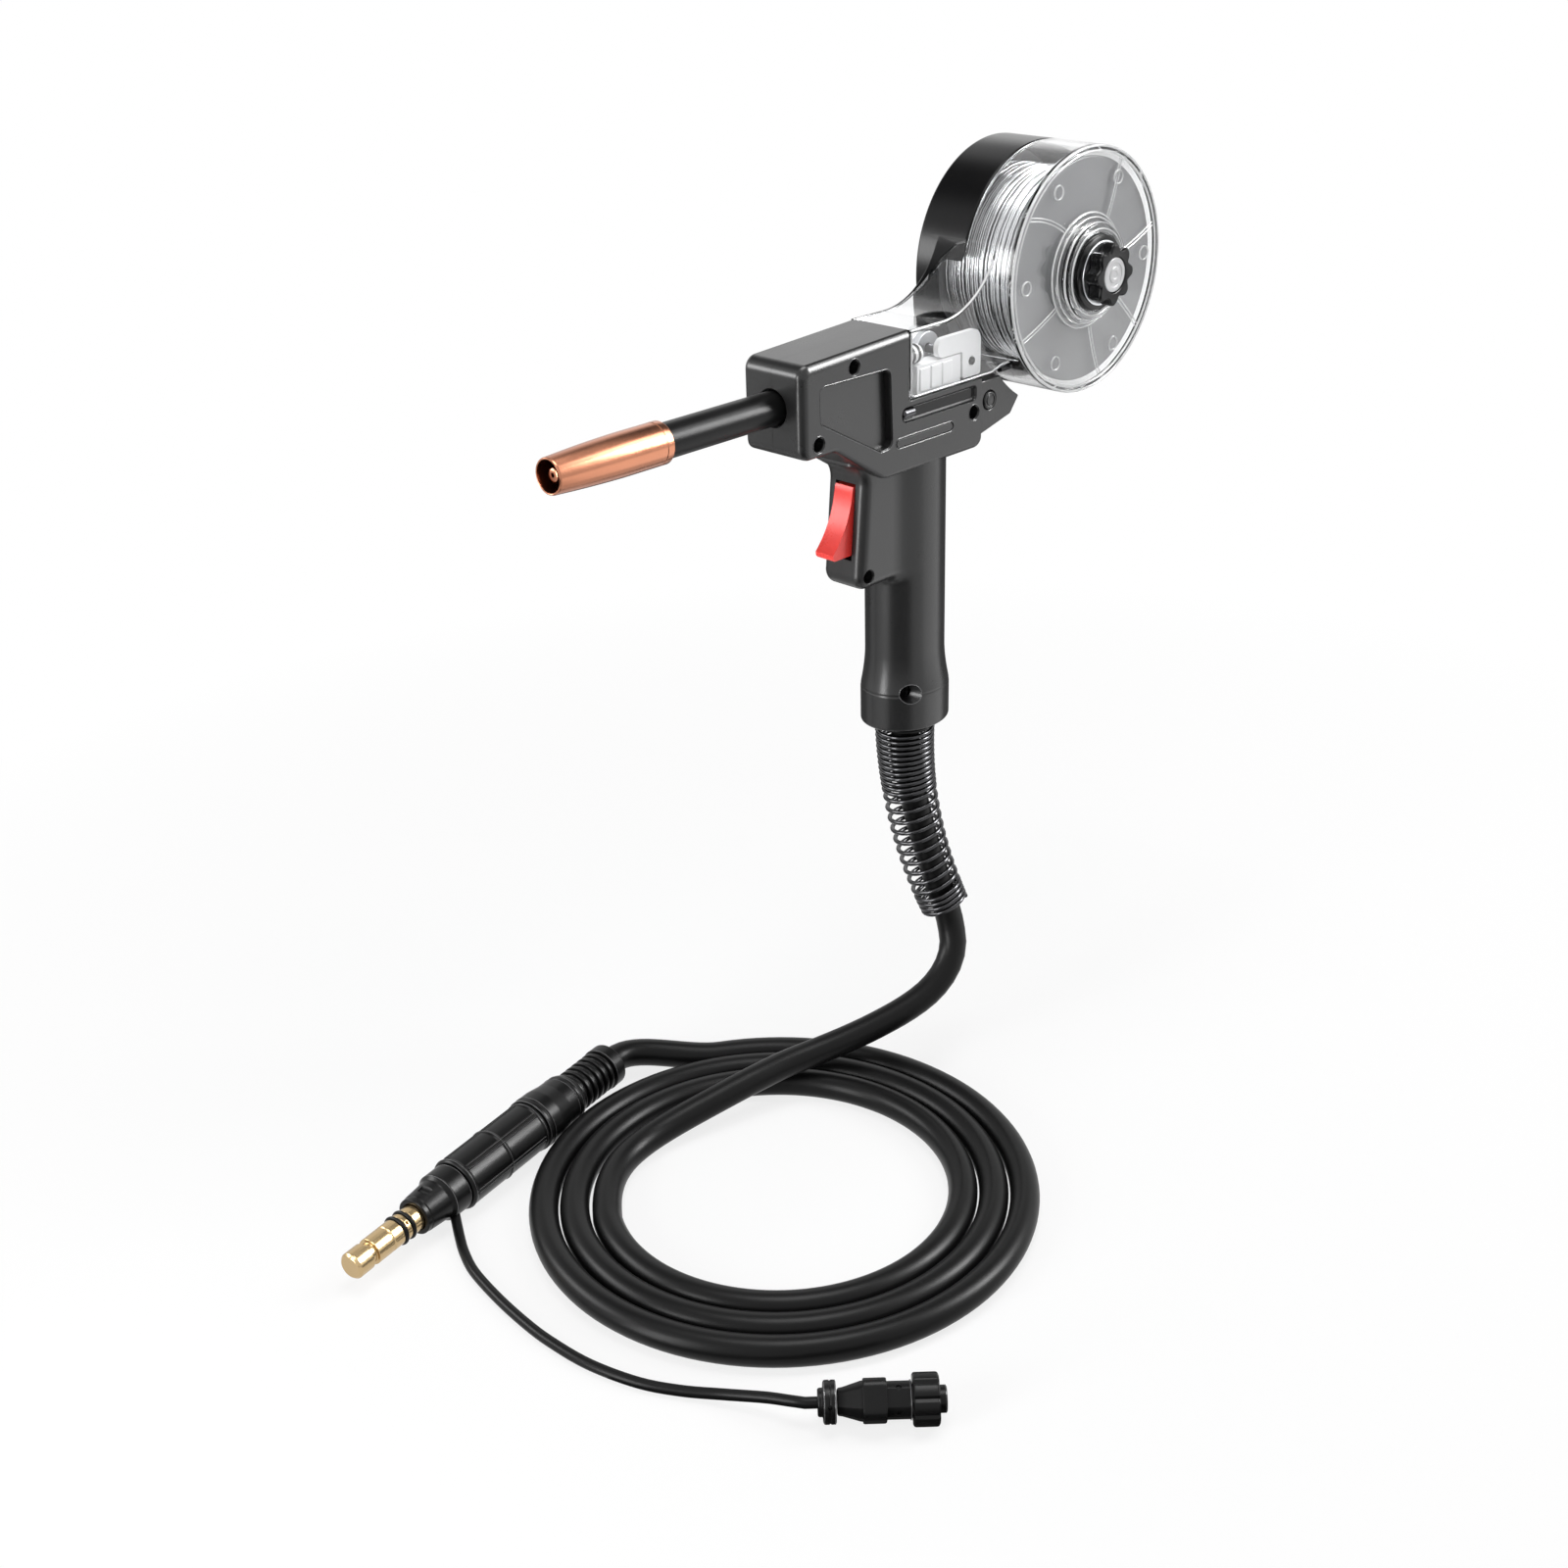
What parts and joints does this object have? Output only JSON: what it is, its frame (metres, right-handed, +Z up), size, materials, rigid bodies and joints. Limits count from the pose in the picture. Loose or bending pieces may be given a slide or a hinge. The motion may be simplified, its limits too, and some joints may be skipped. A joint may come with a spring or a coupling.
{
  "type": "mig welding torch",
  "caption": "Pistol-grip spool gun for MIG welding with a clear-covered wire drum, red trigger, copper nozzle, sprung strain relief, coiled lead, power pin connector and control plug.",
  "frame": {"origin": "on the pistol grip's axis at mid grip, where the hand holds the torch", "axes": "+Z up the grip to the body, -X along the barrel to the nozzle, -Y out of the clear spool cover; the body shells part on Y = 0"},
  "size_m": [0.461, 0.2957, 0.445],
  "materials": {
    "black_case": "satin moulded",
    "black_rubber": "satin",
    "black_steel": "blackened",
    "clear_case": "clear gloss",
    "grey_spool": "gloss",
    "white_plastic": "satin",
    "red_trigger": "gloss",
    "copper": "polished",
    "brass": "polished",
    "steel": "turned",
    "wire": "drawn",
    "insulator": "matt"
  },
  "bodies": {
    "torch_body": {"left_shell": "black_case", "right_shell": "black_case", "shell_screw_1": "black_steel", "shell_screw_2": "black_steel", "shell_screw_3": "black_steel", "shell_screw_4": "black_steel", "shell_screw_5": "black_steel", "tail_bracket": "black_case", "bracket_pin": "black_case", "nozzle": "copper", "nozzle_insulator": "insulator", "contact_tip": "copper", "gas_diffuser": "brass", "barrel_conductor": "brass", "barrel_sleeve": "black_case", "barrel_block": "brass", "spool_housing": "black_case", "spindle": "steel", "brake_washer": "steel", "brake_spring": "steel", "drive_frame": "white_plastic", "outlet_guide": "brass", "inlet_guide": "brass", "arm_pin": "steel", "gear_motor": "steel", "gearbox": "black_case", "feed_wire": "steel", "trigger_pin": "steel", "micro_switch": "black_case", "cable_gland": "black_rubber", "strain_spring": "black_steel", "cable_lead": "black_rubber", "cable_coil": "black_rubber", "connector_boot": "black_rubber", "connector_collar": "black_case", "connector_handle": "black_case", "connector_nose": "black_case", "power_pin": "brass", "o_ring_1": "black_rubber", "o_ring_2": "black_rubber", "control_lead": "black_rubber", "plug_clamp": "black_case", "plug_body": "black_case", "plug_barrel": "black_case"},
    "trigger_lever": {"trigger": "red_trigger"},
    "switch_plunger": {"switch_button": "red_trigger"},
    "wire_spool": {"spool": "grey_spool", "wire_core": "wire", "wire_winding": "wire"},
    "drive_rotor": {"drive_shaft": "steel", "drive_roll": "steel"},
    "pressure_lever": {"pressure_arm": "white_plastic", "roll_pin": "steel"},
    "pressure_wheel": {"pressure_roll": "steel"},
    "cover": {"spool_cover": "clear_case"},
    "knob_turner": {"knob": "black_case", "knob_collar": "black_case", "knob_disc": "steel"},
    "coupling_ring": {"plug_ring": "black_case"}
  },
  "joints": [
    {"name": "trigger_pull", "type": "hinge", "parent": "torch_body", "child": "trigger_lever", "pos_m": [-0.0375, 0, 0.0722], "axis": [0, -1, 0], "range_deg": [0, 7], "stiffness_Nm_per_rad": 0.8, "springref_deg": -5.73},
    {"name": "switch_press", "type": "slide", "parent": "torch_body", "child": "switch_plunger", "axis": [1, 0, 0], "range_m": [0, 0.0021]},
    {"name": "spool_spin", "type": "hinge", "parent": "torch_body", "child": "wire_spool", "pos_m": [0.095, 0, 0.15], "axis": [0, 1, 0], "continuous": true},
    {"name": "drive_spin", "type": "hinge", "parent": "torch_body", "child": "drive_rotor", "pos_m": [0.01, 0, 0.10685], "axis": [0, 1, 0], "continuous": true},
    {"name": "arm_lift", "type": "hinge", "parent": "torch_body", "child": "pressure_lever", "pos_m": [0.0279, 0, 0.1195], "axis": [0, 1, 0], "range_deg": [0, 8], "stiffness_Nm_per_rad": 0.6, "springref_deg": -11.46},
    {"name": "pressure_spin", "type": "hinge", "parent": "pressure_lever", "child": "pressure_wheel", "pos_m": [0.01, 0, 0.12715], "axis": [0, 1, 0], "continuous": true},
    {"name": "cover_lift", "type": "slide", "parent": "torch_body", "child": "cover", "axis": [0, -1, 0], "range_m": [0, 0.06]},
    {"name": "knob_turn", "type": "hinge", "parent": "cover", "child": "knob_turner", "pos_m": [0.095, -0.04, 0.15], "axis": [0, -1, 0], "continuous": true},
    {"name": "ring_turn", "type": "hinge", "parent": "torch_body", "child": "coupling_ring", "pos_m": [-0.20002, -0.18507, -0.2283], "axis": [0.7061, -0.7081, 0], "continuous": true}
  ],
  "couplings": [
    {"joint": "switch_press", "follows": "trigger_pull", "m_per_rad": 0.0162},
    {"joint": "drive_spin", "follows": "spool_spin", "ratio": -3.608},
    {"joint": "pressure_spin", "follows": "spool_spin", "ratio": 6.013}
  ]
}
